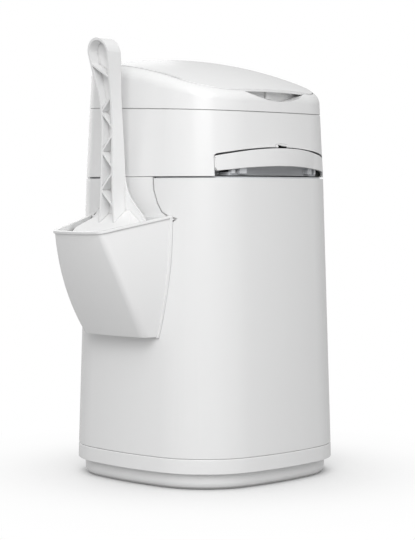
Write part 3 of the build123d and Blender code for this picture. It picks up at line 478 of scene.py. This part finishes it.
def fold_number(place):
    """Which of the film's upright rows of points a point belongs to."""
    rows = 2 * FILM_FOLDS
    return round(math.atan2(place.y, place.x) / math.pi * FILM_FOLDS) % rows


def gather_film():
    """The bag film, gathered in close upright folds round the cassette."""
    clear_choice()
    middle = (FILM_LOW + FILM_HIGH) / 2
    stretch = (FILM_HIGH - FILM_LOW) / 2 / FILM_HALF
    bpy.ops.mesh.primitive_torus_add(
        location=(0, 0, middle), major_radius=FILM_MIDDLE, minor_radius=FILM_HALF,
        major_segments=2 * FILM_FOLDS, minor_segments=FILM_SIDES,
    )
    film = bpy.context.object
    bpy.ops.object.mode_set(mode="EDIT")
    bpy.ops.transform.resize(value=(1, 1, stretch - FOLD_ROOM))
    for every, first, out, rise in FOLD_RUNS:
        choose(film, lambda place: fold_number(place) % every == first)
        bpy.ops.transform.resize(value=(out, out, 1), center_override=(0, 0, middle))
        choose(film, lambda place: place.z > 0 and fold_number(place) % every == first)
        bpy.ops.transform.translate(value=(0, 0, rise))
    bpy.ops.object.mode_set(mode="OBJECT")
    bpy.ops.object.transform_apply(location=True, rotation=True, scale=True)
    film.modifiers.new("soft_folds", "SUBSURF").levels = 1
    apply_all(film)
    settle(film, "film_gathers", FINISHES["film"])
    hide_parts("gathered_film")
    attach(film, "head")


# Rubber feet.
FOOT_PLACE = 0.07
FOOT_RADIUS = 0.009
FOOT_HEIGHT = 0.002
FOOT_SIDES = 64
FOOT_ROUNDING = 0.0002
FOOT_RINGS = (               # each ring's inset, and how far up its inside then goes
    (0.0016, 0.0006), (0.0009, -0.0006), (0.0018, 0.0006), (0.0009, -0.0006),
)


def press_foot(x_side, y_side, name):
    """A rubber foot with a rounded edge and two gripping grooves."""
    clear_choice()
    bpy.ops.mesh.primitive_cylinder_add(
        vertices=FOOT_SIDES, radius=FOOT_RADIUS, depth=FOOT_HEIGHT,
        location=(x_side * FOOT_PLACE, y_side * FOOT_PLACE, FOOT_HEIGHT / 2),
    )
    foot = bpy.context.object
    choose(foot, lambda place: place.z < 0)
    bpy.ops.mesh.select_mode(type="FACE")
    for inset, rise in FOOT_RINGS:
        bpy.ops.mesh.inset(thickness=inset, depth=0)
        bpy.ops.transform.translate(value=(0, 0, rise))
    bpy.ops.object.mode_set(mode="OBJECT")
    rounding = foot.modifiers.new("rounding", "BEVEL")
    rounding.width = FOOT_ROUNDING
    rounding.segments = 2
    apply_all(foot)
    settle(foot, name, FINISHES["rubber"])
    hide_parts("rubber_feet")
    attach(foot, "base")


wind_spring(-1, "left_return_spring")
wind_spring(1, "right_return_spring")
gather_film()
for foot_number, (x_side, y_side) in enumerate(((-1, -1), (1, -1), (1, 1), (-1, 1)), 1):
    press_foot(x_side, y_side, f"rubber_foot_{foot_number}")


# ------------------------------------------------------------------ studio
LAMPS = (                    # name, place, aim, size and power in watts
    ("key_softbox", (-1.7, -1.5, 1.3), (0, 0, 0.25), (1.3, 1.3), 25.7),
    ("top_softbox", (0.0, 0.2, 2.4), (0, 0, 0.3), (2.0, 2.0), 1.9),
    ("rear_fill", (0.9, 2.3, 0.9), (0, 0, 0.2), (2.0, 1.6), 7.0),
    ("high_softbox", (-1.2, -1.2, 2.2), (0, 0, 0.3), (1.6, 1.6), 13.3),
)
AMBIENT = 0.499
GLOSS_GLOW = 0.35            # share of the white backdrop that gloss mirrors
FLOOR_SIZE = 16.0
BOUNCE = 0.45                # the floor as it lights the pail
PAPER = 0.84                 # and as it is seen
FLOOR_MIRROR = 0.5           # share of the floor's white that gloss mirrors
NEAR_GLOW = 0.05             # how much of its white is its own under the pail's edge
OPEN_GLOW = 0.9              # and where nothing is near
SHADOW_REACH = 0.16
SHADOW_OPEN = (0.35, 1.0)    # how open the floor is under the edge and away from it
FADE = (0.17, 0.36)          # where the floor turns to pure white


def make_floor():
    """A pale floor with a soft contact shadow, which fades to white."""
    clear_choice()
    bpy.ops.mesh.primitive_plane_add(size=FLOOR_SIZE, location=(0, 0, 0))
    floor = bpy.context.object
    floor.name = "studio_floor"
    finish = Finish("studio_floor")
    seen = finish.seen()
    distance = finish.node(
        "VectorMath", {"operation": "LENGTH"}, {0: finish.object_place()}, "Value"
    )
    nearby = finish.spread(
        finish.crevices(SHADOW_REACH, 1.0), SHADOW_OPEN, (NEAR_GLOW, OPEN_GLOW)
    )
    own_light = nearby + (1.0 - nearby) * finish.spread(distance, FADE)
    paper = finish.node("BsdfPrincipled", {}, {
        "Base Color": finish.mix(seen, shade(BOUNCE), shade(PAPER)),
        "Roughness": 0.6, "IOR": 1.3,
    })
    glow = finish.node("Emission", {}, {"Color": shade(1.0), "Strength": 1.0})
    share = seen * own_light + finish.ray("Glossy") * FLOOR_MIRROR
    finish.show(finish.node("MixShader", {}, {0: share, 1: paper, 2: glow}))
    floor.data.materials.append(finish.material)


def make_backdrop():
    """White all round where it is seen, and dimmer where it lights the pail."""
    world = bpy.data.worlds.new("studio_world")
    bpy.context.scene.world = world
    world.use_nodes = True
    sky = Graph(world.node_tree, "OutputWorld")
    white = sky.seen() + sky.ray("Glossy") * GLOSS_GLOW
    level = sky.spread(white, WHOLE, (AMBIENT, 1.0))
    sky.show(sky.node("Background", {}, {"Color": shade(1.0), "Strength": level}))


def hang_lamp(name, place, aim, size, power):
    """A rectangular soft lamp that faces its aim."""
    data = bpy.data.lights.new(name, "AREA")
    data.shape = "RECTANGLE"
    data.size, data.size_y = size
    data.energy = power
    lamp = bpy.data.objects.new(name, data)
    bpy.context.collection.objects.link(lamp)
    lamp.location = place
    aimed = (Vector(aim) - Vector(place)).to_track_quat("-Z", "Y")
    lamp.rotation_euler = aimed.to_euler()


make_camera()
make_floor()
make_backdrop()
for lamp_values in LAMPS:
    hang_lamp(*lamp_values)
bpy.context.scene.view_settings.view_transform = "Standard"
